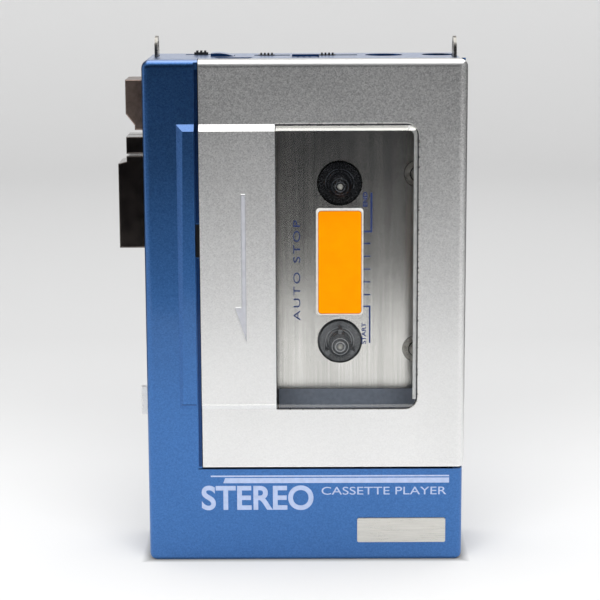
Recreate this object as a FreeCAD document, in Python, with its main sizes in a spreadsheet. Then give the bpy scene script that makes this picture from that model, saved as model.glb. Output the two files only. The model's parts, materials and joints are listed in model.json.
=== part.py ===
import FreeCAD, Part
import math
import os
import Sketcher

# A pocket cassette player standing on its short edge: +Z up, front facing -Y, origin at the middle
# of the bottom face.  Every depth d is measured backwards from the flat of the front face, and every
# height z upwards from a level base_drop above the bottom face.

V = FreeCAD.Vector
doc = FreeCAD.newDocument("cassette_player")
sheet = doc.addObject("Spreadsheet::Sheet", "dims")
nodes = []


class Size:
    """A length that knows its value and the sheet expression that it comes from."""

    def __init__(self, value, text):
        self.value = value
        self.text = text

    def joined(self, other, sign, value):
        return Size(value, f"({self.text} {sign} {as_size(other).text})")

    def __add__(self, other):
        return self.joined(other, "+", self.value + as_size(other).value)

    def __sub__(self, other):
        return self.joined(other, "-", self.value - as_size(other).value)

    def __mul__(self, other):
        return self.joined(other, "*", self.value * as_size(other).value)

    def __truediv__(self, other):
        return self.joined(other, "/", self.value / as_size(other).value)

    def __radd__(self, other):
        return as_size(other) + self

    def __rsub__(self, other):
        return as_size(other) - self

    def __rmul__(self, other):
        return as_size(other) * self

    def __neg__(self):
        return as_size(0) - self


def as_size(number):
    return number if isinstance(number, Size) else Size(float(number), f"({float(number)})")


def driving(name, value):
    """Store a driving dimension in the sheet and return it as a Size."""
    driving.row += 1
    sheet.set(f"A{driving.row}", name)
    sheet.set(f"B{driving.row}", str(value))
    sheet.setAlias(f"B{driving.row}", name)
    return Size(float(value), f"dims.{name}")


driving.row = 0

# Casing
body_w = driving("body_width", 83)
base_drop = driving("base_drop", 1.0)
body_h = driving("body_height", 131.5)
body_t = driving("body_thickness", 28.5)
wall = driving("case_wall", 1.4)
skin = driving("front_skin", 1.2)
corner_r = driving("corner_radius", 2.2)
edge_r = driving("edge_radius", 2.0)
seam = driving("seam_gap", 0.3)
door_t = driving("door_depth", 4.8)
door_left = driving("door_left", -27)
door_bottom = driving("door_bottom", 24.5)
door_lip = driving("door_lip", 0.45)
ledge_w = driving("ledge_width", 1.0)
# Raised panel that makes room for the thick edge of a cassette
panel_rise = driving("panel_rise", 1.5)
panel_rise_low = driving("panel_rise_low", 0.8)
panel_left = driving("panel_left", -32.8)
panel_right = driving("panel_right", 29.4)
panel_low = driving("panel_low", 40.2)
panel_top = driving("panel_top", 115.1)
panel_bevel = driving("panel_bevel", 1.7)
panel_bevel_low = driving("panel_bevel_low", 1.4)
edge_r_low = driving("edge_radius_low", 0.8)
window_left = driving("window_left", -7.4)
window_r = driving("window_corner", 3.2)
# Deck and drive
deck_d = driving("deck_depth", 13.2)
plate_t = driving("plate_thickness", 0.8)
spindle_x = driving("spindle_across", 9.35)
spindle_mid = driving("spindle_middle", 76.95)
spindle_pitch = driving("spindle_pitch", 42.5)
capstan_x = driving("capstan_across", -19.4)
capstan_z = driving("capstan_height", 48)
capstan_r = driving("capstan_radius", 1.0)
flywheel_r = driving("flywheel_radius", 14)
pinion_r = driving("pinion_radius", 4)
reel_r = driving("reel_radius", 11)
motor_x = driving("motor_across", 26)
motor_z = driving("motor_height", 76.9)
motor_r = driving("motor_radius", 10.4)
pulley_r = driving("pulley_radius", 3.1)
wheel_gap = driving("wheel_gap", 0.3)
run_gap = driving("running_gap", 0.06)
roller_r = driving("roller_radius", 5)
head_mid_x = driving("head_across", -30.8)
# Keys
key_front = driving("key_front", 8)
key_back = driving("key_back", 20)
key_reach = driving("key_reach", -46.3)
play_reach = driving("play_reach", -48.5)
key_root = driving("key_root", -38.7)
spring_r = driving("spring_radius", 2.0)
spring_wire = driving("spring_wire", 0.25)
# Power
cell_r = driving("cell_radius", 7.1)
cell_len = driving("cell_length", 49)
cell_d = driving("cell_depth", 19.9)
cell_low = driving("cell_low_height", 8.8)
cell_high = driving("cell_high_height", 23.4)
tray_half = driving("tray_half_width", 28.8)
# Sockets
jack_r = driving("jack_bore_radius", 1.8)
lug_hole_r = driving("lug_hole_radius", 1.25)
doc.recompute()

half_w = body_w / 2
case_d = door_t + seam
hinge_r = door_t / 2
door_right = half_w + door_lip
hinge_x = door_right - hinge_r
supply_z = spindle_mid + spindle_pitch / 2
take_up_z = spindle_mid - spindle_pitch / 2


def depth(d):
    """The y of a place d behind the front face."""
    return d - body_t / 2


def place(obj, x, y, z):
    for axis, value in (("x", x), ("y", y), ("z", z)):
        obj.setExpression(f"Placement.Base.{axis}", as_size(value).text)


def bind(obj, prop, value):
    obj.setExpression(prop, as_size(value).text)


def box(x0, x1, d0, d1, z0, z1):
    obj = doc.addObject("Part::Box", "box")
    bind(obj, "Length", as_size(x1) - x0)
    bind(obj, "Width", as_size(d1) - d0)
    bind(obj, "Height", as_size(z1) - z0)
    place(obj, x0, depth(d0), z0)
    return obj


def rod(axis, at, start, end, radius, top_radius=None):
    """A cylinder or cone along x, y (depth) or z; at holds its two other coordinates in x, d, z order."""
    kind = "Part::Cylinder" if top_radius is None else "Part::Cone"
    obj = doc.addObject(kind, "rod")
    turns = {"x": FreeCAD.Rotation(V(0, 1, 0), 90), "y": FreeCAD.Rotation(V(1, 0, 0), -90), "z": FreeCAD.Rotation()}
    obj.Placement = FreeCAD.Placement(V(0, 0, 0), turns[axis])
    bind(obj, "Height", as_size(end) - start)
    if top_radius is None:
        bind(obj, "Radius", radius)
    else:
        bind(obj, "Radius1", radius)
        bind(obj, "Radius2", top_radius)
    if axis == "x":
        place(obj, start, depth(at[0]), at[1])
    elif axis == "y":
        place(obj, at[0], depth(start), at[1])
    else:
        place(obj, at[0], depth(at[1]), start)
    return obj


def fuse(*shapes):
    obj = doc.addObject("Part::MultiFuse", "fuse")
    obj.Shapes = list(shapes)
    return obj


def common(*shapes):
    obj = doc.addObject("Part::MultiCommon", "common")
    obj.Shapes = list(shapes)
    return obj


def cut(base, *tools):
    obj = doc.addObject("Part::Cut", "cut")
    obj.Base = base
    obj.Tool = tools[0] if len(tools) == 1 else fuse(*tools)
    return obj


def group(*shapes):
    """Several separate solids that make one sub-part."""
    obj = doc.addObject("Part::Compound", "group")
    obj.Links = list(shapes)
    return obj


def node(name, obj):
    """Name a finished piece and lift it so that the bottom face of the case lies at zero."""
    lifted = group(obj)
    bind(lifted, "Placement.Base.z", base_drop)
    lifted.Label = name
    doc.recompute()
    nodes.append(lifted)
    return lifted


def along_y(edge):
    return edge.BoundBox.XLength < 1e-5 and edge.BoundBox.ZLength < 1e-5


def at_depth(d):
    y = depth(as_size(d)).value
    return lambda edge: abs(edge.BoundBox.YMin - y) < 1e-5 and abs(edge.BoundBox.YMax - y) < 1e-5


def outline_sketch(body, plane_role, points, offset):
    """A closed outline of (across, up) points on one of the body's planes."""
    sketch = body.newObject("Sketcher::SketchObject", "outline")
    plane = [item for item in body.Origin.OriginFeatures if item.Role == plane_role][0]
    sketch.AttachmentSupport = [(plane, "")]
    sketch.MapMode = "FlatFace"
    bind(sketch, "AttachmentOffset.Base.z", offset)
    corners = [(as_size(across), as_size(up)) for across, up in points]
    places = [V(x.value, z.value, 0) for x, z in corners]
    following = places[1:] + places[:1]
    lines = [sketch.addGeometry(Part.LineSegment(a, b)) for a, b in zip(places, following)]
    for line, after in zip(lines, lines[1:] + lines[:1]):
        sketch.addConstraint(Sketcher.Constraint("Coincident", line, 2, after, 1))
    for line, (across, up) in zip(lines, corners):
        for kind, value in (("DistanceX", across), ("DistanceY", up)):
            index = sketch.addConstraint(Sketcher.Constraint(kind, -1, 1, line, 1, value.value))
            sketch.setExpression(f"Constraints[{index}]", value.text)
    return sketch


def bar_along_x(points, x0, x1):
    """Pad an outline of (d, z) points from x0 to x1."""
    body = doc.addObject("PartDesign::Body", "bar")
    feature = body.newObject("PartDesign::Pad", "pad")
    feature.Profile = outline_sketch(body, "YZ_Plane", [(depth(as_size(d)), z) for d, z in points], as_size(x0))
    bind(feature, "Length", as_size(x1) - x0)
    body.Tip = feature
    return body


def prism(points, d0, d1, rounds=()):
    """Pad an outline of (x, z) points from depth d0 to d1, then round the chosen edges."""
    body = doc.addObject("PartDesign::Body", "prism")
    sketch = outline_sketch(body, "XZ_Plane", points, -depth(as_size(d1)))
    feature = body.newObject("PartDesign::Pad", "pad")
    feature.Profile = sketch
    bind(feature, "Length", as_size(d1) - d0)
    doc.recompute()
    for chosen, radius in rounds:
        edges = [f"Edge{i + 1}" for i, edge in enumerate(feature.Shape.Edges) if chosen(edge)]
        rounded = body.newObject("PartDesign::Fillet", "rounded")
        rounded.Base = (feature, edges)
        bind(rounded, "Radius", radius)
        feature = rounded
        doc.recompute()
    body.Tip = feature
    return body


def block(x0, x1, d0, d1, z0, z1, rounds=()):
    return prism([(x0, z0), (x1, z0), (x1, z1), (x0, z1)], d0, d1, rounds)


def panel_profile(inset, slope, slope_low):
    """The raised panel seen from the side: it stands out less towards its lower end."""
    low, top = panel_low + inset, panel_top - inset
    return [(0.01, low), (-panel_rise_low, low + slope_low), (-panel_rise, top - slope), (0.01, top)]


def bevelled_panel(x0, x1, inset, bevel_left, bevel_right, slope, slope_low):
    """A raised block with its own bevel on each of its four sides."""
    sides = doc.addObject("Part::Wedge", "sides")
    values = {
        "Xmin": x0 + bevel_left, "Xmax": x1 - bevel_right, "X2min": x0, "X2max": x1,
        "Zmin": panel_low, "Zmax": panel_top, "Z2min": panel_low, "Z2max": panel_top,
        "Ymin": depth(-panel_rise), "Ymax": depth(as_size(0.01)),
    }
    for prop, value in values.items():
        bind(sides, prop, value)
    return common(sides, bar_along_x(panel_profile(inset, slope, slope_low), x0, x1))


def raised_panel():
    return bevelled_panel(panel_left, panel_right, 0, panel_bevel, panel_bevel, panel_bevel, panel_bevel_low)


def body_block(d0, d1, rounds):
    return block(-half_w, half_w, d0, d1, -base_drop, body_h, rounds)


# ---------------------------------------------------------------- casing

def front_frame():
    top_corner = lambda edge: along_y(edge) and edge.BoundBox.ZMin > 100
    low_corner = lambda edge: along_y(edge) and edge.BoundBox.ZMin < 10
    soft_sides = block(-half_w, half_w, 0, case_d - 0.25, -10, body_h,
                       [(top_corner, corner_r), (at_depth(0), edge_r)])
    crisp_foot = block(-half_w, half_w, 0, case_d - 0.25, -base_drop, body_h + 10,
                       [(low_corner, corner_r), (at_depth(0), edge_r_low)])
    outer = common(soft_sides, crisp_foot)
    ledge_left = door_left - 0.2 - ledge_w
    strip_in = ledge_left - 0.2
    door_space = box(door_left - 0.2, half_w + 1, -1, 6, door_bottom - 0.6, body_h + 1)
    ledge = box(ledge_left, half_w, -1, 0.5, door_bottom - 0.6, body_h + 1)
    strip = box(-half_w + skin, strip_in, skin, 6, skin, body_h - skin)
    floor = box(-half_w + skin, half_w - skin, skin, 6, skin, door_bottom - 1.8)
    thumb = box(ledge_left, door_left, -1, 3.2, 80.5, 89.25)
    hinge_notch = box(36, half_w - 0.7, skin, 6, 21.4, 24.4)
    raised = common(raised_panel(), box(panel_left - 1, ledge_left, -3, 1, panel_low - 1, panel_top + 1))
    under = box(panel_left + 2.9, strip_in, -0.2, 2, panel_low + 2.9, panel_top - 2.9)
    post_places = [at for at, start in case_screw_places[:3]]
    posts = [rod("y", at, skin - 0.2, 11.6, 1.7) for at in post_places]
    pilots = [rod("y", at, 4, 12, 0.9) for at in post_places]
    shell = cut(fuse(cut(outer, door_space, ledge), raised), strip, floor, thumb, hinge_notch, under)
    return node("front_frame", cut(fuse(shell, *posts), *pilots))


def rear_case():
    rounds = [(along_y, corner_r), (at_depth(body_t), edge_r)]
    outer = body_block(case_d, body_t, rounds)
    inside = box(-half_w + wall, half_w - wall, 4, body_t - wall, wall, body_h - wall)
    spigot = cut(
        box(-half_w + skin + 0.1, door_left - 2, 3.6, case_d + 1, skin + 0.1, body_h - skin - 0.1),
        box(-half_w + skin + 0.8, door_left, 3, case_d + 2, skin + 0.8, body_h - skin - 0.8))
    sill = box(-half_w + skin + 0.1, half_w - skin - 0.1, 3.6, case_d + 1, skin + 0.1, skin + 0.8)
    horn = box(half_w - 1, half_w, 3, case_d, door_bottom - 0.3, body_h)
    lug_x = hinge_x - 2
    upper_lug = fuse(rod("z", (hinge_x, hinge_r), 126.4, 128.6, 1.15),
                     box(lug_x, hinge_x - 0.7, hinge_r, 6.8, 126.4, 128.6),
                     box(lug_x, half_w - wall + 0.2, case_d + 0.2, 6.8, 126.4, 128.6))
    lower_lug = fuse(rod("z", (hinge_x, hinge_r), 21.8, 24.1, 1.15),
                     box(lug_x, hinge_x + 0.8, hinge_r, 6.8, 21.8, 24.1),
                     box(lug_x, half_w - wall + 0.2, case_d + 0.2, 6.8, 21.8, 24.1))
    deck_bosses = [rod("y", at, deck_d + plate_t, body_t - wall + 0.2, 2.6) for at in deck_screw_places]
    case_bosses = [rod("y", at, start, body_t - wall + 0.2, 1.8) for at, start in case_screw_places]
    board_rests = [rod("y", (x, z), 25.6, body_t - wall + 0.2, 1.6) for x in (-26, 24) for z in (92, 117)]
    relief = rod("z", (hinge_x, hinge_r), door_bottom - 0.3, body_h + 1, case_d - hinge_r)
    pin_holes = rod("z", (hinge_x, hinge_r), 20, 130, 0.7)
    holes = [
        box(-half_w - 1, -half_w + 2, 7, 21, 80.3, 127.5),
        box(-half_w - 1, -half_w + 2, 8.5, 11.5, 35.2, 45.6),
        box(-31.3, -24.4, 20.7, 23.3, body_h - 2, body_h + 1),
        box(-24.5, -18.1, 14.1, 19.7, body_h - 2, body_h + 1),
        box(-13.0, -3.6, 16.5, 19.5, body_h - 2, body_h + 1),
        box(3.6, 14.0, 16.5, 19.5, body_h - 2, body_h + 1),
        box(-3.1, 4.0, 6.6, 21.5, body_h - 0.5, body_h + 1),
        box(-39.1, -38.0, 13.8, 20.7, body_h - 2, body_h + 1),
        box(38.5, 39.6, 7.7, 14.8, body_h - 2, body_h + 1),
        rod("z", (21, 18.2), body_h - 0.6, body_h + 1, 4.9),
        rod("z", (35.3, 18.9), body_h - 0.6, body_h + 1, 4.3),
        rod("z", (21, 18.2), body_h - 2, body_h + 1, 3.1),
        rod("z", (35.8, 19.9), body_h - 2, body_h + 1, 3.1),
        rod("x", (18, 12), half_w - 2, half_w + 1, 3.1),
        box(-29.7, 29.7, body_t - wall - 0.1, body_t + 1, -3, 33.2),
    ]
    holes += [rod("z", (x, d), body_h - 2, body_h + 1, 0.4) for x in (-1.5, 0, 1.5) for d in (16.5, 18, 19.5)]
    holes += [rod("y", at, 4, 25, 0.9) for at in deck_screw_places]
    holes += [rod("y", at, 4, body_t, 0.9) for at, start in case_screw_places]
    holes += [rod("y", at, body_t - 1, body_t + 1, 2.1) for at, start in case_screw_places]
    scoop_r = 15.7
    scoop = rod("y", (-18.15, body_h - 0.8 + scoop_r), case_d - 1, 9.5, scoop_r)
    tub = fuse(cut(outer, inside), spigot, sill, horn, upper_lug, lower_lug,
               *deck_bosses, *case_bosses, *board_rests)
    return node("rear_case", cut(tub, relief_without_lugs(relief), pin_holes, scoop, *holes))


def relief_without_lugs(relief):
    """The curved relief behind the door's hinge edge, left out where the two lugs hold the pins."""
    return cut(relief, box(35, hinge_x + 0.9, 0, 8, 126.3, 128.7), box(35, hinge_x + 0.9, 0, 8, 20, 24.15))


def cassette_door():
    at_front_top = lambda edge: at_depth(0)(edge) and abs(edge.BoundBox.ZMin - body_h.value) < 1e-5
    top_right = lambda edge: along_y(edge) and edge.BoundBox.ZMin > 131 and edge.BoundBox.XMin > 0
    outline = block(door_left, door_right, 0, door_t, door_bottom, body_h, [(top_right, corner_r)])
    top_edge = block(door_left, door_right, 0, door_t, door_bottom, body_h, [(at_front_top, edge_r)])
    plan = fuse(box(door_left, hinge_x, 0, door_t, door_bottom, body_h),
                rod("z", (hinge_x, hinge_r), door_bottom, body_h, hinge_r))
    raised = common(raised_panel(), box(door_left, window_left, -3, 1, panel_low - 1, panel_top + 1))
    solid = fuse(common(outline, top_edge, plan), raised)
    hollow = [
        box(door_left + 1, 36, 1, 6, door_bottom + 1, body_h - 1),
        box(35, hinge_x, 1, 6, 27, 128.8),
        box(door_left + 1, window_left - 1, -0.2, 2, panel_low + 3, panel_top - 3),
        box(window_left, panel_right, -3, 2, panel_low, panel_top),
    ]
    lug_room = [
        rod("z", (hinge_x, hinge_r), 126.1, 128.9, 1.6),
        box(35, 43, hinge_r + 0.5, 6, 126.1, 128.9),
    ]
    pin_holes = [
        rod("z", (hinge_x, hinge_r), 128, 130.4, 0.7 + run_gap),
        rod("z", (hinge_x, hinge_r), door_bottom - 1, 26.7, 0.7 + run_gap),
    ]
    arrow = prism([(-16.4, 97.2), (-16.4, 67.4), (-18.3, 67.4), (-15.1, 58.0), (-15.1, 97.2)],
                  -panel_rise - 1, -panel_rise_low + 0.1)
    window_corners = cut(box(panel_right - 4, panel_right, 0, 1, panel_low, panel_top), window_outline(-1, 3))
    shell = cut(solid, *hollow, *lug_room, *pin_holes, arrow)
    return node("cassette_door", fuse(shell, window_corners))


def window_outline(d0, d1):
    right_corner = lambda edge: along_y(edge) and edge.BoundBox.XMin > 0
    return block(window_left, panel_right, d0, d1, panel_low, panel_top, [(right_corner, window_r)])


def door_window():
    """The clear pane: a flange flush with the door and a raised face with steep bevels inside it."""
    inset = 0.3
    face = common(bevelled_panel(window_left - 5, panel_right - inset, inset, 0, 0.7, 1.3, 1.1),
                  box(window_left, panel_right, -3, 1, panel_low, panel_top))
    flange = box(window_left, panel_right, 0, 1, panel_low, panel_top)
    return node("door_window", common(fuse(face, flange), window_outline(-3, 2)))


def door_hinge_pins():
    upper = rod("z", (hinge_x, hinge_r), 126.4, 130.2, 0.7)
    lower = rod("z", (hinge_x, hinge_r), 21.8, 26.4, 0.7)
    return node("door_hinge_pins", group(upper, lower))


def door_catch():
    base = box(door_left + 1, door_left + 2.2, 1.0, 4.6, 81, 88.6)
    tooth = rod("z", (door_left + 2.2, 3.8), 82.5, 87, 0.6)
    return node("door_catch", fuse(base, tooth))


def cassette_springs():
    """Two bowed leaves in the door that hold a cassette against the deck."""
    leaves = []
    for low in (28.5, 119):
        foot = box(2, 8, 1.0, 1.3, low, low + 6)
        leaf = prism([(8, low), (22, low), (22, low + 6), (8, low + 6)], 1.0, 1.3)
        lift = box(12, 18, 1.3, 2.2, low + 1, low + 5)
        leaves.append(fuse(foot, leaf, lift))
    return node("cassette_springs", group(*leaves))


def name_badge():
    return node("name_badge", block(13.7, 37.1, -0.3, 0, 3.8, 10.5, [(along_y, 0.5), (at_depth(-0.3), 0.12)]))


def battery_cover():
    whole = body_block(case_d, body_t, [(along_y, corner_r), (at_depth(body_t), edge_r)])
    slab = common(whole, box(-29.5, 29.5, body_t - wall + 0.05, body_t, -base_drop, 33))
    grips = [box(-8, 8, body_t - 0.5, body_t + 1, z, z + 0.9) for z in (22, 24, 26, 28)]
    return node("battery_cover", cut(slab, *grips))


def strap_lugs():
    lugs = []
    for x, d in ((-38.95, 14), (38.65, 7.9)):
        plate = box(x, x + 0.8, d, d + 6.5, 127.8, 133.5)
        crown = rod("x", (d + 3.25, 133.5), x, x + 0.8, 3.25)
        eye = rod("x", (d + 3.25, 134.2), x - 1, x + 2, lug_hole_r)
        lugs.append(cut(fuse(plate, crown), eye))
    return node("strap_lugs", group(*lugs))


def screw(at, start, head_end, head_r, shank_end):
    """A screw along the depth; its head lies between start and head_end."""
    low, high = sorted((start, head_end))
    head = rod("y", at, low, high, head_r)
    shank = rod("y", at, min(head_end, shank_end), max(head_end, shank_end), 0.85)
    slot = box(at[0] - head_r, at[0] + head_r, start - 0.35, start + 0.35, at[1] - 0.2, at[1] + 0.2)
    return cut(fuse(head, shank), slot)


def case_screws():
    return node("case_screws", group(*[screw(at, 28.3, 27.5, 1.9, first + 2) for at, first in case_screw_places]))


# ---------------------------------------------------------------- deck

def deck_plate():
    plate = box(-26.6, 39.3, deck_d, deck_d + plate_t, 33, 127.5)
    head_window = box(-28, -9.5, deck_d - 1, deck_d + 2, 41.5, 112.5)
    spindle_holes = [rod("y", (spindle_x, z), deck_d - 1, deck_d + 2, 6) for z in (supply_z, take_up_z)]
    screw_holes = [rod("y", at, deck_d - 1, deck_d + 2, 0.9) for at in deck_screw_places]
    return node("deck_plate", cut(plate, head_window, *spindle_holes, *screw_holes))


def deck_panel():
    return node("deck_panel", block(3.1, 15.56, deck_d - 0.3, deck_d, 62.8, 91.5, [(along_y, 1.0)]))


def deck_screws():
    washers = [cut(rod("y", at, deck_d - 0.3, deck_d, 3.5), rod("y", at, deck_d - 1, deck_d + 1, 0.9))
               for at in deck_screw_places]
    screws = [screw(at, deck_d.value - 1.1, deck_d.value - 0.3, 1.8, 22) for at in deck_screw_places]
    return node("deck_screws", group(*washers, *screws))


def reel_spindle(name, z):
    """A splined spindle with its drive disc, running on a fixed post."""
    hub = rod("y", (spindle_x, z), 6.6, deck_d + 0.6, 3.0)
    nose = rod("y", (spindle_x, z), 5.4, 6.6, 1.6, 3.0)
    base = rod("y", (spindle_x, z), deck_d - 0.6, deck_d + 0.6, 5.4)
    neck = rod("y", (spindle_x, z), deck_d + 0.6, 15.6, 4.0)
    disc = rod("y", (spindle_x, z), 15.4, 17.0, reel_r)
    fins = []
    for turn in range(3):
        fin = box(-0.5, 0.5, 7.0, deck_d, 0, 4.3)
        holder = doc.addObject("Part::Compound", "fin")
        holder.Links = [fin]
        holder.Placement = FreeCAD.Placement(V(0, 0, 0), FreeCAD.Rotation(V(0, 1, 0), 120 * turn))
        place(holder, spindle_x, 0, z)
        fins.append(holder)
    bore = rod("y", (spindle_x, z), 6.4, 18, capstan_r + run_gap)
    return node(name, cut(fuse(hub, nose, base, neck, disc, *fins), bore))


def reel_posts():
    return node("reel_posts", group(*[rod("y", (spindle_x, z), 6.8, 19.4, capstan_r) for z in (supply_z, take_up_z)]))


def chassis_plate():
    plate = box(-37.6, 38.6, 18.6, 19.4, 34, 112)
    pillars = [rod("y", at, deck_d + plate_t, 19, 1.5) for at in ((-5, 37), (37, 93), (37, 61), (-7, 109))]
    passages = [rod("y", (motor_x, motor_z), 18, 20, motor_r + 0.3), rod("y", (capstan_x, capstan_z), 18, 20, 2.6)]
    passages += [rod("y", at, 18, 20, 3.0) for at in deck_screw_places]
    passages += [rod("y", (spindle_x, z), 18, 20, capstan_r) for z in (supply_z, take_up_z)]
    passages += [rod("y", idler_place, 18, 20, capstan_r), box(-38, -24, 18, 20, 80, 113)]
    passages += [rod("y", case_screw_places[2][0], 18, 20, 2.2)]
    return node("chassis_plate", cut(fuse(plate, *pillars), *passages))


# ---------------------------------------------------------------- tape drive

def capstan_shaft():
    return node("capstan_shaft", rod("y", (capstan_x, capstan_z), 5.4, 25.2, capstan_r))


def flywheel():
    rim = rod("y", (capstan_x, capstan_z), 20.4, 24.0, flywheel_r)
    dish = cut(rod("y", (capstan_x, capstan_z), 23.2, 25, flywheel_r - 3),
               rod("y", (capstan_x, capstan_z), 22, 26, 4))
    bore = rod("y", (capstan_x, capstan_z), 19, 26, capstan_r)
    return node("flywheel", cut(rim, dish, bore))


def drive_pinion():
    disc = rod("y", (capstan_x, capstan_z), 15.4, 16.4, pinion_r)
    return node("drive_pinion", cut(disc, rod("y", (capstan_x, capstan_z), 15, 18, capstan_r)))


def capstan_bearing():
    sleeve = fuse(rod("y", (capstan_x, capstan_z), 16.8, 20.1, 2.6), rod("y", (capstan_x, capstan_z), 17.8, 18.6, 3.6))
    return node("capstan_bearing", cut(sleeve, rod("y", (capstan_x, capstan_z), 16, 21, capstan_r + run_gap)))


def thrust_plate():
    bar = box(-38, 0, 25.4, 26.2, 45, 52)
    pillars = [rod("y", at, 19.4, 25.5, 1.3) for at in ((-36, 48), (-2.8, 49))]
    return node("thrust_plate", fuse(bar, *pillars))


def idler_wheel():
    disc = rod("y", idler_place, 15.4, 17.0, idler_r)
    return node("idler_wheel", cut(disc, rod("y", idler_place, 15, 18, capstan_r + run_gap)))


def idler_post():
    return node("idler_post", fuse(rod("y", idler_place, 14.6, 19.4, capstan_r), rod("y", idler_place, 14.2, 15.1, 1.8)))


def motor():
    can = rod("y", (motor_x, motor_z), 14.3, 20.8, motor_r)
    return node("motor", cut(can, rod("y", (motor_x, motor_z), 17.5, 21, 0.75 + run_gap)))


def motor_pulley():
    drum = rod("y", (motor_x, motor_z), 21.1, 23.5, pulley_r)
    flanges = [rod("y", (motor_x, motor_z), d, d + 0.4, pulley_r + 0.8) for d in (21.1, 23.3)]
    shaft = rod("y", (motor_x, motor_z), 17.8, 24, 0.75)
    return node("motor_pulley", fuse(drum, shaft, *flanges))


def belt_face(gap):
    """The flat outline of the belt loop: both wheels grown by gap, joined by their outer tangents."""
    wheels = [(V(capstan_x.value, 0, capstan_z.value), flywheel_r.value + gap),
              (V(motor_x.value, 0, motor_z.value), pulley_r.value + gap)]
    (centre_a, radius_a), (centre_b, radius_b) = wheels
    run = centre_b - centre_a
    lean = math.acos((radius_a - radius_b) / run.Length)
    heading = math.atan2(run.z, run.x)

    def on_wheel(centre, radius, angle):
        return centre + V(math.cos(angle), 0, math.sin(angle)) * radius

    upper_a, upper_b = [on_wheel(c, r, heading + lean) for c, r in wheels]
    lower_a, lower_b = [on_wheel(c, r, heading - lean) for c, r in wheels]
    edges = [
        Part.LineSegment(upper_a, upper_b).toShape(),
        Part.Arc(upper_b, on_wheel(centre_b, radius_b, heading), lower_b).toShape(),
        Part.LineSegment(lower_b, lower_a).toShape(),
        Part.Arc(lower_a, on_wheel(centre_a, radius_a, heading + math.pi), upper_a).toShape(),
    ]
    return Part.Face(Part.Wire(edges))


def drive_belt():
    near, far = 21.7, 22.9
    loops = [belt_face(gap).extrude(V(0, far - near, 0)) for gap in (0.2, 0.9)]
    belt = doc.addObject("Part::Feature", "belt_loop")
    belt.Shape = loops[1].cut(loops[0])
    belt.Placement = FreeCAD.Placement(V(0, depth(as_size(near)).value, 0), FreeCAD.Rotation())
    return node("drive_belt", belt)


# ---------------------------------------------------------------- head assembly

def head_base():
    plate = box(-35.0, -25.4, 14.2, 15.0, 43, 90)
    platform = box(-34.5, -27, 12.4, 14.3, 68.5, 90)
    arm_foot = box(-33.2, -27.2, 13.0, 14.3, 43.5, 53)
    axle = rod("y", (-30.2, capstan_z), 5.6, 14.2, 0.9)
    return node("head_base", fuse(plate, platform, arm_foot, axle))


def playback_head():
    back = box(-33.6, head_mid_x, 5.6, 12.3, 72.6, 81.4)
    nose = rod("y", (head_mid_x, 77), 5.6, 12.3, 4.4)
    ears = box(-33.2, -29, 11.5, 12.4, 69.5, 84.5)
    return node("playback_head", fuse(back, nose, ears))


def head_screws():
    return node("head_screws", group(*[rod("y", (-31, z), 10.7, 11.5, 1.1) for z in (71, 83)]))


def tape_guide():
    post = box(-32, -28.5, 5.6, 12.4, 86.6, 88.8)
    fingers = [box(-29, -26.6, d, d + 0.8, 86.6, 88.8) for d in (5.6, 11.0)]
    return node("tape_guide", fuse(post, *fingers))


def pinch_roller():
    tyre = rod("y", (-30.2, capstan_z), 6.0, 12.6, roller_r)
    return node("pinch_roller", cut(tyre, rod("y", (-30.2, capstan_z), 5, 14, 0.9 + run_gap)))


# ---------------------------------------------------------------- keys

def key(name, outline, d0, d1, stem_z, low, high):
    """A key cap with a flange behind the key frame and a stem that carries its spring."""
    cap = prism(outline, d0, d1, [(at_depth(d0), 0.35)])
    flange_d0 = d0 - 0.7 if d0.value <= key_front.value + 0.1 else d0 - 0.05
    flange_d1 = d1 + 0.7 if d1.value >= key_back.value - 0.1 else d1 + 0.05
    flange = box(key_root, key_root + 1, flange_d0, flange_d1, low, high)
    mid_d = (d0 + d1) / 2
    stem = box(key_root + 0.9, -30.3, mid_d - 0.9, mid_d + 0.9, stem_z - 0.9, stem_z + 0.9)
    return node(name, fuse(cap, flange, stem))


def keys():
    split = (key_front + key_back) / 2
    root = key_root
    stop = [(root, 112.9), (root, 125.9), (key_reach, 125.9), (key_reach, 117.1), (-44, 114.1), (-44, 112.9)]
    wind = [(root, 106.7), (root, 111.1), (key_reach, 111.1), (key_reach, 106.7)]
    play = [(root, 81.9), (root, 106.1), (key_reach, 106.1), (key_reach, 104.7), (play_reach, 104.1),
            (play_reach, 81.9)]
    key("stop_key", stop, key_front, key_back, 119.4, 112.9, 125.9)
    key("rewind_key", wind, key_front, split - 0.25, 108.9, 106.7, 111.1)
    key("fast_forward_key", wind, split + 0.25, key_back, 108.9, 106.7, 111.1)
    key("play_key", play, key_front, key_back, 96, 81.9, 106.1)


def key_frame():
    wall_in = half_w - wall - 0.1
    inner = box(-half_w, -wall_in, 7.1, 20.9, 80.4, 127.4)
    flange = box(-wall_in, -38.9, 6.2, 21.8, 79.4, 127.6)
    slots = [box(-half_w - 1, -38, 7.8, 20.2, low, high) for low, high in ((81.7, 111.3), (112.7, 126.1))]
    return node("key_frame", cut(fuse(inner, flange), *slots))


def stem_places():
    quarter = (key_back - key_front) / 4
    middle = (key_front + key_back) / 2
    return {
        "stop_spring": (middle, 119.4),
        "rewind_spring": (middle - quarter - 0.125, 108.9),
        "fast_forward_spring": (middle + quarter + 0.125, 108.9),
        "play_spring": (middle, 96),
    }


def key_guide():
    plate = box(-31.5, -30.7, 8.5, body_t - wall, 92, 121.4)
    holes = [box(-32, -30, d - 1.1, d + 1.1, z - 1.1, z + 1.1) for d, z in stem_places().values()]
    return node("key_guide", cut(plate, *holes))


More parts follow.
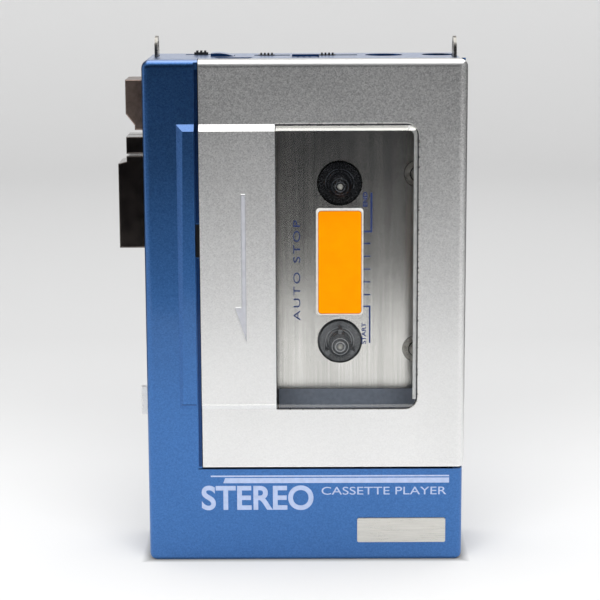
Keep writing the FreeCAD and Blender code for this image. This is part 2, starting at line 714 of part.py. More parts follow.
def key_spring(name, d, z):
    """The sleeve that a coil spring fills around a key's stem, between its flange and the key guide."""
    sleeve = rod("x", (d, z), key_root + 1.0, -31.5, spring_r + spring_wire)
    return node(name, cut(sleeve, rod("x", (d, z), -40, -30, spring_r - spring_wire)))


# ---------------------------------------------------------------- controls and sockets

def slide_knob(name, x0, x1, d0, d1, bottom, body_top, rib_count):
    """A thumb slide with ribs across its top and a flange that keeps it under the top wall."""
    rib_w = (x1 - x0) / (2 * rib_count + 1)
    starts = [x0 + rib_w * (2 * i + 1) for i in range(rib_count)]
    ribs = [box(start, start + rib_w, d0, d1, body_top - 0.1, body_top + 0.45) for start in starts]
    body = box(x0, x1, d0, d1, bottom, body_top)
    flange = box(x0, x1, d0 - 0.5, d1 + 0.5, bottom, bottom + 0.8)
    return node(name, fuse(body, flange, *ribs))


def controls():
    slide_knob("volume_slide_left", -11.9, -7.65, 16.8, 19.2, 128.4, 131.65, 4)
    slide_knob("volume_slide_right", 4.05, 8.3, 16.8, 19.2, 128.4, 131.65, 4)
    node("volume_pots", group(box(-14.5, -3.6, 15.2, 20.4, 121.6, 128.1), box(3.5, 15.2, 15.2, 20.4, 121.6, 128.1)))
    slide_knob("tone_slide", -29.0, -25.35, 21.0, 23.0, 128.4, 132.1, 3)
    node("tone_switch", box(-32, -23.5, 20.5, 24.0, 121.6, 128.1))
    crown_r = 12
    cap = common(box(-24.3, -18.3, 14.3, 19.5, 128.4, 133), rod("y", (-22.6, 132.3 - crown_r), 14, 20, crown_r))
    collar = box(-25.0, -17.6, 14.2, 20.2, 128.4, 129.2)
    node("talk_button", fuse(cap, collar))
    node("talk_switch", box(-24, -18.6, 14.6, 19.2, 122, 127.4))
    node("microphone", rod("z", (0, 18), 125, 129.9, 3.0))
    thumb = box(-43.6, -39.7, 8.7, 11.3, 36.8, 44.2)
    grooves = [box(-45, -43.2, 8, 12, z, z + 0.6) for z in (38.6, 40.2, 41.8)]
    node("tape_slide", cut(thumb, *grooves))
    node("tape_switch", box(-39.5, -36.4, 7.6, 12.4, 33.6, 47.2))


def socket(centre, radius_at, body_size, low):
    """A round jack socket: a square body under the top wall, a collar through it and a bore."""
    x, d = centre
    half = body_size / 2
    body = box(x - half, x + half, d - half, d + half, low, body_h - wall - 0.1)
    collar = rod("z", (x, d), body_h - wall - 0.2, body_h - 0.7, 3.0)
    return cut(fuse(body, collar), rod("z", (x, d), body_h - 13.5, body_h + 1, radius_at))


def sockets():
    node("headphone_jacks", group(socket((21, 18.2), jack_r, 7.6, 114.5), socket((35.8, 19.9), jack_r, 7.0, 114.5)))
    body = box(30.8, half_w - wall - 0.1, 14.2, 22, 8, 16)
    collar = rod("x", (18, 12), half_w - wall - 0.2, half_w - 0.1, 3.0)
    bore = rod("x", (18, 12), half_w - 9, half_w + 1, jack_r + 0.9)
    pin = rod("x", (18, 12), half_w - 9.5, half_w - 2, 0.65)
    node("power_jack", fuse(cut(fuse(body, collar), bore), pin))


# ---------------------------------------------------------------- electronics and power

def circuit_board():
    board = box(-29, 31, 24.4, 25.6, 88.5, 121)
    return node("circuit_board", cut(board, rod("y", deck_screw_places[0], 24, 26, 2.8)))


def board_parts():
    cans = [rod("y", (x, 116), 17.5, 24.4, 2.5) for x in (-14, -7, 8.5)]
    chips = [box(x, x + 9, 22.4, 24.4, 92, 97) for x in (-24, -10, 4)]
    coil = box(-24, -17.5, 19.6, 24.4, 101, 108)
    trimmers = [box(x, x + 5, 21.8, 24.4, 103, 108) for x in (-10, -2, 14)]
    return node("board_parts", group(*cans, *chips, coil, *trimmers))


def battery_tray():
    front = box(-tray_half, tray_half, 12.1, 12.6, 1.6, 31.6)
    roof = box(-tray_half, tray_half, 12.5, 27, 31.0, 31.6)
    ends = [box(x, x + 1, 12.5, 27, 1.6, 31.6) for x in (-tray_half, tray_half - 1)]
    return node("battery_tray", fuse(front, roof, *ends))


def battery_cells():
    tray_in = tray_half - 1.4
    shift = tray_in - 0.2 - 1.0 - cell_len
    lower = fuse(rod("x", (cell_d, cell_low), shift, shift + cell_len, cell_r),
                 rod("x", (cell_d, cell_low), shift + cell_len, tray_in - 0.2, 2.7))
    upper = fuse(rod("x", (cell_d, cell_high), -shift - cell_len, -shift, cell_r),
                 rod("x", (cell_d, cell_high), -tray_in + 0.2, -shift - cell_len, 2.7))
    return node("battery_cells", group(lower, upper))


def battery_contacts():
    """End plates and the two conical springs that press on the cells' flat ends."""
    tray_in = tray_half - 1.0
    plates = [box(x, x + 0.4, 14, 26, z, z + 9) for x in (-tray_in, tray_in - 0.4) for z in (4.3, 18.9)]
    reach = 3.9
    lower = rod("x", (cell_d, cell_low), -tray_in + 0.4, -tray_in + 0.4 + reach, 4.2, 2.4)
    upper = rod("x", (cell_d, cell_high), tray_in - 0.4 - reach, tray_in - 0.4, 2.4, 4.2)
    return node("battery_contacts", group(*plates, lower, upper))


deck_screw_places = [(29.9, 100.6), (29.7, 53.5)]
case_screw_places = [((-34.8, 19.5), 12.0), ((34.8, 19.5), 12.0), ((-37.2, 62), 12.0), ((28.9, 125.0), 14.2)]
capstan_to_take_up = math.hypot((spindle_x - capstan_x).value, (take_up_z - capstan_z).value)
idler_r = as_size((capstan_to_take_up - (pinion_r + reel_r + wheel_gap * 2).value) / 2)
idler_share = (pinion_r + wheel_gap + idler_r).value / capstan_to_take_up
idler_place = (capstan_x + (spindle_x - capstan_x) * idler_share, capstan_z + (take_up_z - capstan_z) * idler_share)

front_frame()
rear_case()
cassette_door()
door_window()
door_hinge_pins()
door_catch()
cassette_springs()
name_badge()
battery_cover()
strap_lugs()
case_screws()
deck_plate()
deck_panel()
deck_screws()
reel_spindle("supply_spindle", supply_z)
reel_spindle("take_up_spindle", take_up_z)
reel_posts()
chassis_plate()
capstan_shaft()
flywheel()
drive_pinion()
capstan_bearing()
thrust_plate()
idler_wheel()
idler_post()
motor()
motor_pulley()
drive_belt()
head_base()
playback_head()
head_screws()
tape_guide()
pinch_roller()
keys()
key_frame()
key_guide()
for spring_name, (spring_d, spring_z) in stem_places().items():
    key_spring(spring_name, spring_d, spring_z)
controls()
sockets()
circuit_board()
board_parts()
battery_tray()
battery_cells()
battery_contacts()
doc.recompute()

failed = [obj.Label for obj in doc.Objects if "Invalid" in obj.State or "Error" in obj.State]
failed += [obj.Label for obj in nodes if obj.Shape.isNull() or not obj.Shape.isValid()]
if failed:
    raise RuntimeError("failed objects: " + ", ".join(failed))
os.makedirs("parts", exist_ok=True)
for obj in nodes:
    obj.Shape.exportStep(f"parts/{obj.Label}.step")
    print(f"{obj.Label:22s} {len(obj.Shape.Solids)} solids {obj.Shape.Volume:10.2f} mm3")
print(len(nodes), "nodes")
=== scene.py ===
import json
import math
import bmesh
import bpy
from mathutils import Matrix, Vector


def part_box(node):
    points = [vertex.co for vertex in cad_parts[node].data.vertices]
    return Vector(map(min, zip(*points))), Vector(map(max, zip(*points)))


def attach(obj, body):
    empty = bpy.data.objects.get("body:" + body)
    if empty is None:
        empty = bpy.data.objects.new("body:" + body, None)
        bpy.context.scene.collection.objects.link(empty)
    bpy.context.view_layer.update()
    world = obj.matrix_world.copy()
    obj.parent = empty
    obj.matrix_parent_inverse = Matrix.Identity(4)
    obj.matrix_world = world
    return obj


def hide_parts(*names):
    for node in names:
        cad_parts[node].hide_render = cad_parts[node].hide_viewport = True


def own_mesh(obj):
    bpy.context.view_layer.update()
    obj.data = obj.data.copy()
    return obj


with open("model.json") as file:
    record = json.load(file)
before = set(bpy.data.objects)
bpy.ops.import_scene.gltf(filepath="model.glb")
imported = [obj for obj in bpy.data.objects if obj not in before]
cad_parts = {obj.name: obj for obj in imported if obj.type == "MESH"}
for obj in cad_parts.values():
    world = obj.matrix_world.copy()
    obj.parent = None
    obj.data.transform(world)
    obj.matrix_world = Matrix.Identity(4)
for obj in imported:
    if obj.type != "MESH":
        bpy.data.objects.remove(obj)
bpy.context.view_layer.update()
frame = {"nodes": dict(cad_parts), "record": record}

MM = 0.001
BACK_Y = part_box("rear_case")[1].y
FRONT_Y = -BACK_Y
DECK_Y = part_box("deck_plate")[0].y
HALF_WIDTH = 41.5 * MM
BASE_DROP = 1.0 * MM        # heights on the front and the deck are given from this far above the foot
PRINT_LIFT = 0.02 * MM      # thickness of printed ink
WINDOW_CORNER = 3.2 * MM    # radius of the window's two right-hand corners
PAPER_FRONT = -0.36
scene = bpy.context.scene


# ---------------------------------------------------------------- shader helpers

class Shader:
    """A material's node tree with short calls for the nodes that the finishes share."""

    def __init__(self, name):
        self.material = bpy.data.materials.new(name)
        self.material.use_nodes = True
        self.tree = self.material.node_tree
        self.surface = self.tree.nodes["Principled BSDF"]
        self.output = self.tree.nodes["Material Output"]
        self.place = self.add("ShaderNodeTexCoord").outputs["Object"]

    def add(self, kind, **settings):
        node = self.tree.nodes.new(kind)
        for key, value in settings.items():
            setattr(node, key, value)
        return node

    def feed(self, socket, value):
        if isinstance(value, bpy.types.NodeSocket):
            self.tree.links.new(value, socket)
        else:
            socket.default_value = value

    def set(self, **values):
        for key, value in values.items():
            self.feed(self.surface.inputs[key.replace("_", " ")], value)

    def stretched(self, x, y, z):
        mapping = self.add("ShaderNodeMapping")
        self.feed(mapping.inputs["Vector"], self.place)
        mapping.inputs["Scale"].default_value = (x, y, z)
        return mapping.outputs["Vector"]

    def noise(self, scale, detail=2.0, roughness=0.5, vector=None):
        node = self.add("ShaderNodeTexNoise")
        self.feed(node.inputs["Vector"], vector or self.place)
        node.inputs["Scale"].default_value = scale
        node.inputs["Detail"].default_value = detail
        node.inputs["Roughness"].default_value = roughness
        return node.outputs["Fac"]

    def cells(self, scale):
        node = self.add("ShaderNodeTexVoronoi")
        self.feed(node.inputs["Vector"], self.place)
        node.inputs["Scale"].default_value = scale
        return node.outputs["Color"]

    def math(self, operation, a, b=0.0, clamp=False):
        node = self.add("ShaderNodeMath", operation=operation, use_clamp=clamp)
        self.feed(node.inputs[0], a)
        self.feed(node.inputs[1], b)
        return node.outputs[0]

    def ramp(self, value, start, end, low=0.0, high=1.0):
        """low up to start, high from end on, and an even slope between them."""
        node = self.add("ShaderNodeMapRange")
        self.feed(node.inputs["Value"], value)
        for key, number in (("From Min", start), ("From Max", end), ("To Min", low), ("To Max", high)):
            node.inputs[key].default_value = number
        return node.outputs["Result"]

    def spread(self, value, low, high):
        """Stretch a 0.3..0.7 noise to low..high."""
        return self.ramp(value, 0.3, 0.7, low, high)

    def axis(self, letter):
        """Where along the X, Y or Z axis of the frame each point of the surface is, in metres."""
        node = self.add("ShaderNodeSeparateXYZ")
        self.feed(node.inputs[0], self.place)
        return node.outputs[letter]

    def dot(self, a, b):
        node = self.add("ShaderNodeVectorMath", operation="DOT_PRODUCT")
        self.feed(node.inputs[0], a)
        self.feed(node.inputs[1], b)
        return node.outputs["Value"]

    def blend(self, factor, a, b):
        node = self.add("ShaderNodeMix", data_type="RGBA")
        self.feed(node.inputs["Factor"], factor)
        self.feed(node.inputs[6], a)
        self.feed(node.inputs[7], b)
        return node.outputs[2]

    def bump(self, height, distance, strength):
        node = self.add("ShaderNodeBump")
        node.inputs["Strength"].default_value = strength
        node.inputs["Distance"].default_value = distance
        self.feed(node.inputs["Height"], height)
        self.set(Normal=node.outputs["Normal"])

    def facing(self, x, y, z, low, high):
        """1 where the surface faces the given way in the frame, 0 elsewhere."""
        geometry = self.add("ShaderNodeNewGeometry")
        return self.ramp(self.dot(geometry.outputs["Normal"], (x, y, z)), low, high)

    def worn_edges(self, radius):
        """0 on flats and up to 1 along convex edges, from the surface's bevelled normal."""
        bevel = self.add("ShaderNodeBevel", samples=4)
        bevel.inputs["Radius"].default_value = radius
        geometry = self.add("ShaderNodeNewGeometry")
        flatness = self.dot(bevel.outputs["Normal"], geometry.outputs["Normal"])
        return self.math("MULTIPLY", self.math("SUBTRACT", 1.0, flatness), 4.0, clamp=True)


def colour(r, g, b):
    """An sRGB colour of 0..255 as the linear one that a shader takes."""
    def linear(value):
        value = value / 255
        return value / 12.92 if value <= 0.04045 else ((value + 0.055) / 1.055) ** 2.4
    return (linear(r), linear(g), linear(b), 1.0)


def grey(level):
    return (level, level, level, 1.0)


def shaded(tone, factor, lift=0.0):
    """A linear colour made darker or lighter, never past white."""
    return tuple(min(1.0, channel * factor + lift) for channel in tone[:3]) + (1.0,)


# ---------------------------------------------------------------- finishes

def flake_paint(name, tones, roughness, grain, flake_shade_by_height, coat, shine):
    """Metallic paint: fine flakes, grain mm across, and dusty upward faces, lightened there as a painted
    sheen.

    tones are the paint's light, deep, and dusty sheen colours. flake_shade_by_height is how much the flakes
    stand out low and high on the case, higher up as painted shade, and shine how far the upper bevels are
    painted lighter as a painted highlight.
    """
    tone, deep_tone, dust_and_sheen_tone = tones
    s = Shader(name)
    speck = s.add("ShaderNodeSeparateColor")
    s.feed(speck.inputs[0], s.cells(1 / (grain * MM)))
    soft = s.noise(1 / (grain * 1.2 * MM), 2)
    cloud = s.noise(45, 3)
    hard_share = s.math("MULTIPLY", speck.outputs[0], 0.6)
    soft_share = s.math("MULTIPLY", s.spread(soft, 0.0, 1.0), 0.4)
    flakes = s.math("ADD", hard_share, soft_share)
    # painted shade: the deep flake tone takes a larger share higher up, darkening the case towards the top
    shade_climb = s.ramp(s.axis("Z"), 55 * MM, 122 * MM, *flake_shade_by_height)
    deep = s.math("MULTIPLY", s.math("SUBTRACT", 1.0, flakes), shade_climb, clamp=True)
    # painted highlight: bevels facing up and forward lose the deep flake tone and read lighter
    glint = s.facing(0, -0.64, 0.77, 0.70, 0.9)
    deep = s.math("MULTIPLY", deep, s.math("SUBTRACT", 1.0, s.math("MULTIPLY", glint, shine)))
    # dust and painted sheen: upward faces turn towards the pale third tone in patches
    dust_and_sheen = s.math("MULTIPLY", s.facing(0, 0, 1, 0.55, 0.95), s.spread(cloud, 0.55, 0.8))
    s.set(Base_Color=s.blend(dust_and_sheen, s.blend(deep, tone, deep_tone), dust_and_sheen_tone))
    fine = s.spread(soft, roughness - 0.02, roughness + 0.02)
    s.set(Roughness=s.math("ADD", fine, s.spread(cloud, -0.02, 0.02)))
    s.set(Metallic=1.0, Coat_Weight=coat, Coat_Roughness=0.08)
    s.bump(soft, 0.004 * MM, 0.3)
    return s.material


def brushed_steel():
    """Sheet steel brushed upwards: fine even streaks, a few faint long marks and a little grime."""
    s = Shader("brushed_steel")
    streaks = s.noise(1.0, 3, 0.6, s.stretched(2100, 2100, 26))
    broad = s.noise(1.0, 2, 0.5, s.stretched(420, 420, 9))
    grime = s.noise(60, 3)
    tone = s.blend(s.spread(streaks, 0.0, 1.0), colour(196, 194, 190), colour(216, 214, 209))
    tone = s.blend(s.spread(broad, 0.0, 0.3), tone, colour(190, 188, 182))
    s.set(Base_Color=tone, Metallic=1.0)
    s.set(Roughness=s.math("ADD", s.spread(broad, 0.17, 0.21), s.spread(grime, -0.015, 0.02)))
    return s.material


def two_tone(name, pattern, tones, roughness, metallic=0.0, coat=0.0, dents=None):
    """A finish that wavers between two tones.

    pattern is the noise's scale, detail and roughness and, if it is drawn out, its scale along X, Y and Z.
    roughness is one number or the two that it wavers between; dents are a bump's depth in mm and strength.
    """
    s = Shader(name)
    scale, detail, break_up, *drawn_out = pattern
    film = s.noise(scale, detail, break_up, s.stretched(*drawn_out) if drawn_out else None)
    s.set(Base_Color=s.blend(s.spread(film, 0.0, 1.0), *tones), Metallic=metallic, Coat_Weight=coat)
    s.set(Roughness=s.spread(film, *roughness) if isinstance(roughness, tuple) else roughness)
    if dents:
        depth, strength = dents
        s.bump(film, depth * MM, strength)
    return s.material


def plain_steel():
    """Plated sheet and wire with soft handling marks."""
    return two_tone("plain_steel", (900, 4, 0.5), (colour(150, 147, 140), colour(196, 193, 186)),
                    (0.22, 0.4), metallic=1.0, dents=(0.01, 0.3))


def pitted(s):
    """Pin-prick pits, a thin uneven film, and how much dust the two hold."""
    pits = s.noise(2600, 3, 0.7)
    film = s.noise(260, 4)
    dust_and_sheen = s.math("MULTIPLY", s.spread(pits, 0.0, 0.9), s.spread(film, 0.0, 0.6), clamp=True)
    return pits, film, dust_and_sheen


def key_chrome():
    """Polished plating with pits and dust."""
    s = Shader("key_chrome")
    pits, film, dust_and_sheen = pitted(s)
    s.set(Base_Color=s.blend(dust_and_sheen, colour(178, 170, 162), colour(96, 84, 74)))
    s.set(Metallic=1.0, Roughness=s.spread(film, 0.08, 0.2))
    s.bump(pits, 0.004 * MM, 0.4)
    return s.material


def turned_brass():
    """Brass with fine lathe rings along its length."""
    tones = colour(168, 132, 72), colour(208, 176, 110)
    return two_tone("turned_brass", (1.0, 2, 0.5, 300, 5000, 300), tones,
                    (0.2, 0.36), metallic=1.0, dents=(0.01, 0.4))


def moulded(name, tone, roughness, grain=0.25, depth=0.02, coat=0.0):
    """Moulded plastic or rubber: a fine spark-eroded grain with slightly polished edges."""
    s = Shader(name)
    skin = s.noise(1 / (grain * MM), 3, 0.6)
    wear = s.worn_edges(0.25 * MM)
    lighter = shaded(tone, 1.7, 0.004)
    grained = s.blend(s.spread(skin, 0.0, 0.35), tone, lighter)
    s.set(Base_Color=s.blend(s.math("MULTIPLY", wear, 0.5), grained, lighter))
    unworn = s.spread(skin, roughness - 0.06, roughness + 0.08)
    s.set(Roughness=s.math("SUBTRACT", unworn, s.math("MULTIPLY", wear, 0.1)))
    s.set(Coat_Weight=coat, Coat_Roughness=0.05)
    s.bump(skin, depth * MM, 0.5)
    return s.material


def satin_print(name, tone, roughness=0.45):
    """Screen-printed ink or enamel with a slightly uneven film."""
    return two_tone(name, (700, 3, 0.5), (shaded(tone, 0.86), tone),
                    (roughness - 0.05, roughness + 0.05), dents=(0.004, 0.3))


def glowing_enamel():
    """Orange enamel with a slightly uneven film; an emission glow brightens it as painted light, and it is
    painted darker and browner towards its upper end as painted shade.
    """
    s = Shader("orange_enamel")
    film = s.noise(260, 3)
    panel_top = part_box("deck_panel")[1].z
    # painted shade: the top few mm of the panel turn darker and browner
    top_shade = s.ramp(s.axis("Z"), panel_top - 6 * MM, panel_top, 0.0, 0.35)
    unshaded_tone = s.blend(s.spread(film, 0.0, 1.0), (0.84, 0.235, 0.0, 1.0), (0.92, 0.265, 0.0, 1.0))
    s.set(Base_Color=s.blend(top_shade, unshaded_tone, (0.42, 0.13, 0.0, 1.0)), Roughness=s.spread(film, 0.5, 0.58))
    # painted light: the emission makes the enamel glow though it is no lamp, standing in for light the door
    # keeps off
    s.set(Emission_Color=(1.0, 0.26, 0.0, 1.0), Emission_Strength=0.24)
    s.surface.inputs["Specular IOR Level"].default_value = 0.05
    s.bump(film, 0.004 * MM, 0.3)
    return s.material


def clear_acrylic():
    """Clear acrylic: light passes straight through, and its bevels throw back the light around them."""
    s = Shader("clear_acrylic")
    s.tree.nodes.remove(s.surface)
    scuffs = s.noise(40, 4, 0.7)
    clear = s.add("ShaderNodeBsdfTransparent")
    clear.inputs["Color"].default_value = (0.985, 0.988, 0.99, 1.0)
    gloss = s.add("ShaderNodeBsdfGlossy")
    gloss.inputs["Color"].default_value = (1.0, 0.985, 0.93, 1.0)
    s.feed(gloss.inputs["Roughness"], s.spread(scuffs, 0.01, 0.04))
    upper = s.facing(0, -0.7071, 0.7071, 0.80, 0.90)
    lower = s.facing(0, -0.7071, -0.7071, 0.80, 0.90)
    right = s.facing(0.9, -0.43, 0, 0.90, 0.96)
    share = s.math("ADD", s.math("MULTIPLY", upper, 0.52), s.math("MULTIPLY", lower, 0.2))
    share = s.math("ADD", share, s.math("MULTIPLY", right, 0.08))
    fresnel = s.add("ShaderNodeFresnel")
    fresnel.inputs["IOR"].default_value = 1.35
    mix = s.add("ShaderNodeMixShader")
    glare = s.math("SUBTRACT", fresnel.outputs["Fac"], 0.03, clamp=True)
    s.feed(mix.inputs["Fac"], s.math("ADD", glare, share, clamp=True))
    s.feed(mix.inputs[1], clear.outputs["BSDF"])
    s.feed(mix.inputs[2], gloss.outputs["BSDF"])
    s.feed(s.output.inputs["Surface"], mix.outputs["Shader"])
    return s.material


def circuit_lacquer():
    """Lacquered brown board with copper tracks showing through."""
    tones = colour(96, 62, 26), colour(150, 104, 50)
    return two_tone("circuit_lacquer", (1.0, 1, 0.2, 900, 900, 260), tones,
                    0.35, coat=0.4, dents=(0.03, 0.6))


def cell_sleeve():
    """The dark shrunk-on jacket of a cell."""
    return two_tone("cell_sleeve", (400, 3, 0.5), (colour(44, 46, 50), colour(70, 72, 76)),
                    0.3, metallic=0.4, coat=0.5, dents=(0.01, 0.3))


def make_finishes():
    """The finish of each material slot."""
    # the third tone of each paint is the dusty painted sheen of its upward faces
    blues = (colour(75, 126, 192), colour(38, 78, 137), colour(176, 196, 236))
    silvers = (colour(254, 254, 253), colour(149, 149, 150), colour(250, 250, 250))
    return {
        "blue_metal": flake_paint("blue_paint", blues, 0.31, 0.30, flake_shade_by_height=(0.45, 0.62), coat=0.30, shine=0.0),
        "silver_metal": flake_paint("silver_paint", silvers, 0.39, 0.31, flake_shade_by_height=(0.14, 0.72), coat=0.0,
                                    shine=1.0),
        "clear_window": clear_acrylic(),
        "steel": plain_steel(),
        "chrome": key_chrome(),
        "black_plastic": moulded("black_plastic", colour(22, 22, 24), 0.42),
        "grey_plastic": moulded("spindle_plastic", colour(26, 27, 30), 0.22, 0.4, 0.01, 0.4),
        "white_plastic": moulded("white_plastic", colour(214, 213, 206), 0.35),
        "orange_paint": glowing_enamel(),
        "rubber": moulded("rubber", colour(26, 25, 25), 0.7, 0.12, 0.04),
        "brass": turned_brass(),
        "board": circuit_lacquer(),
        "cell_wrap": cell_sleeve(),
    }


def satin_badge():
    """Fine satin aluminium with a faint lengthways grain."""
    tones = colour(206, 204, 198), colour(224, 222, 216)
    return two_tone("satin_badge", (1.0, 3, 0.6, 120, 3000, 3000), tones, (0.26, 0.32), metallic=1.0)


def dark_key_steel(name, tone, roughness):
    """Plated steel given a dark base colour as a painted reflection, cloudy and aged, pitted and dusty."""
    s = Shader(name)
    pits, film, dust_and_sheen = pitted(s)
    cloudy = s.noise(420, 5, 0.65)
    aged = s.blend(s.spread(cloudy, 0.0, 1.0), shaded(tone, 0.55), tone)
    s.set(Base_Color=s.blend(s.math("MULTIPLY", dust_and_sheen, 0.8), aged, colour(150, 138, 128)))
    s.set(Metallic=1.0, Roughness=s.spread(film, roughness, roughness + 0.06))
    s.bump(pits, 0.004 * MM, 0.4)
    return s.material


def dress_nodes(finishes):
    """Give every CAD node its slot's finish; a few nodes have a finish of their own."""
    slots = {part["node"]: part["material_slot"] for part in frame["record"]["subparts"]}
    own = {
        "deck_plate": brushed_steel(),
        "name_badge": satin_badge(),
        # the two spindles take a darker and a paler copy of the same plastic
        "supply_spindle": moulded("darker_spindle", colour(13, 14, 16), 0.24, 0.4, 0.01, 0.3),
        "take_up_spindle": moulded("paler_spindle", colour(66, 68, 70), 0.24, 0.4, 0.01, 0.4),
        # painted reflection: dark base colours stand for the dark room the keys mirror; the stop key gets a
        # lighter, browner, rougher copy
        "stop_key": dark_key_steel("stop_key_painted_reflection", colour(166, 146, 136), 0.30),
        "play_key": dark_key_steel("play_key_painted_reflection", colour(100, 94, 92), 0.10),
    }
    own["rewind_key"] = own["fast_forward_key"] = own["play_key"]
    for name, obj in frame["nodes"].items():
        obj.data.materials.clear()
        obj.data.materials.append(own.get(name, finishes[slots[name]]))


# ---------------------------------------------------------------- added pieces

def placed(name, data):
    """A new object in the scene."""
    piece = bpy.data.objects.new(name, data)
    scene.collection.objects.link(piece)
    return piece


def faces_between(rings, around):
    """Four-sided faces joining each ring of points to the next, all the way round."""
    faces = []
    for ring in range(rings - 1):
        for step in range(around):
            here, there = ring * around, (ring + 1) * around
            after = (step + 1) % around
            faces.append((here + step, here + after, there + after, there + step))
    return faces


def flat_piece(name, points, y, body, material, thickness=PRINT_LIFT):
    """A thin plate with its back on the plane y.

    Its (x, z) points are in mm, z from BASE_DROP up, and go anticlockwise as seen from the front.
    """
    count = len(points)
    corners = [(x * MM, depth, z * MM + BASE_DROP) for depth in (y, y - thickness) for x, z in points]
    back = tuple(reversed(range(count)))
    front = tuple(range(count, 2 * count))
    mesh = bpy.data.meshes.new(name)
    mesh.from_pydata(corners, [], [back, front] + faces_between(2, count))
    mesh.materials.append(material)
    piece = placed(name, mesh)
    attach(piece, body)


def bar(name, x0, x1, z0, z1, y, body, material, thickness=PRINT_LIFT):
    flat_piece(name, [(x0, z0), (x1, z0), (x1, z1), (x0, z1)], y, body, material, thickness)


def lettering(name, words, x, z, height, y, body, material, width, upward=False, weight=0.0, spacing=1.0):
    """Plain upright capitals, so many mm high and wide, printed from (x, z) mm across or upwards."""
    capital_share = 0.69
    curve = bpy.data.curves.new(name, "FONT")
    curve.body = words
    curve.size = height * MM / capital_share
    curve.extrude = PRINT_LIFT / 2
    curve.offset = weight * MM
    curve.space_character = spacing
    curve.materials.append(material)
    piece = placed(name, curve)
    bpy.context.view_layer.update()
    squeeze = width * MM / piece.dimensions.x
    turn = Matrix.Rotation(math.radians(90), 4, "X")
    if upward:
        turn = turn @ Matrix.Rotation(math.radians(90), 4, "Z")
    start = Matrix.Translation((x * MM, y - PRINT_LIFT / 2, z * MM + BASE_DROP))
    piece.matrix_world = start @ turn @ Matrix.Diagonal((squeeze, 1, 1, 1))
    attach(piece, body)


def deck_foot_shade():
    """A dark sheet along the lower edge of the deck, laid there as painted shade."""
    # painted shade: a dark slate sheet stands for the shaded band at the foot of the deck
    bar("deck_foot_shade", -7.0, 38.5, 33.6, 42.6, DECK_Y, "case", deck_shade_sheet(), 0.3 * MM)


def deck_shade_sheet():
    return two_tone("deck_shade_slate", (900, 3, 0.5), (colour(112, 119, 130), colour(124, 131, 142)),
                    (0.3, 0.38), metallic=0.3, dents=(0.01, 0.4))


def front_print():
    """A thin and a thick stripe across the lower band of the case, over what kind of player it is."""
    white = satin_print("pale_ink", colour(158, 172, 202))
    stripe_end = 38.0
    bar("thin_stripe", -25.0, stripe_end, 21.8, 22.2, FRONT_Y, "case", white)
    slanted = [(-21.7, 20.1), (stripe_end, 20.1), (stripe_end, 21.5), (-21.2, 21.5)]
    flat_piece("thick_stripe", slanted, FRONT_Y, "case", white)
    lettering("model_kind", "CASSETTE PLAYER", 4.1, 16.9, 2.1, FRONT_Y, "case", white, 33)
    lettering("sound_kind", "STEREO", -27.6, 13.0, 6.2, FRONT_Y, "case", white, 29.6, weight=0.22)


def deck_print():
    """The tape scale beside the coloured panel, and the legend left of it."""
    navy = satin_print("navy_ink", colour(34, 52, 104))
    y, left, line = DECK_Y, 15.6, 0.45
    end_foot, start_head = 85.05, 65.3
    bar("end_mark_up", 17.5, 17.5 + line, end_foot, 95.6, y, "case", navy)
    bar("end_mark_foot", left, 17.5, end_foot, end_foot + line, y, "case", navy)
    for step in range(5):
        z = 82.05 - 3.45 * step
        bar(f"tape_mark_{step + 1}", left, 17.45, z - 0.16, z + 0.16, y, "case", navy)
    bar("start_mark_head", left, 17.1, start_head - line, start_head, y, "case", navy)
    bar("start_mark_down", 17.1, 17.1 + line, 55.1, start_head, y, "case", navy)
    lettering("end_word", "END", 16.6, 91.8, 1.1, y, "case", navy, 3.9, upward=True, weight=0.04)
    lettering("start_word", "START", 16.3, 54.8, 1.1, y, "case", navy, 5.8, upward=True, weight=0.04)
    lettering("auto_stop_words", "AUTO STOP", -1.2, 61.3, 1.8, y, "case", navy, 27, upward=True, spacing=1.3)


def turned(name, profile, centre_x, centre_z, body, material):
    """A piece of revolution about a line along Y; the profile is (radius, y) pairs in metres."""
    turns = 48
    points = []
    for radius, y in profile:
        for step in range(turns):
            angle = 2 * math.pi * step / turns
            points.append((centre_x + radius * math.cos(angle), y, centre_z + radius * math.sin(angle)))
    mesh = bpy.data.meshes.new(name)
    mesh.from_pydata(points, [], faces_between(len(profile), turns))
    mesh.shade_smooth()
    mesh.materials.append(material)
    piece = placed(name, mesh)
    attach(piece, body)


def arc_profile(radius, wide, deep, y, end, step):
    """A (radius, y) profile round an arc of 0 to end degrees, wide across and deep forwards."""
    angles = [math.radians(a) for a in range(0, end + 1, step)]
    return [(radius + wide * math.cos(a), y - deep * math.sin(a)) for a in angles]


def raised_ring(name, radius, bulge, x, y, z, body, material):
    """A half-round ring on a face; the radius and the bulge are in mm."""
    turned(name, arc_profile(radius * MM, bulge * MM, bulge * MM, y, 180, 20), x, z, body, material)


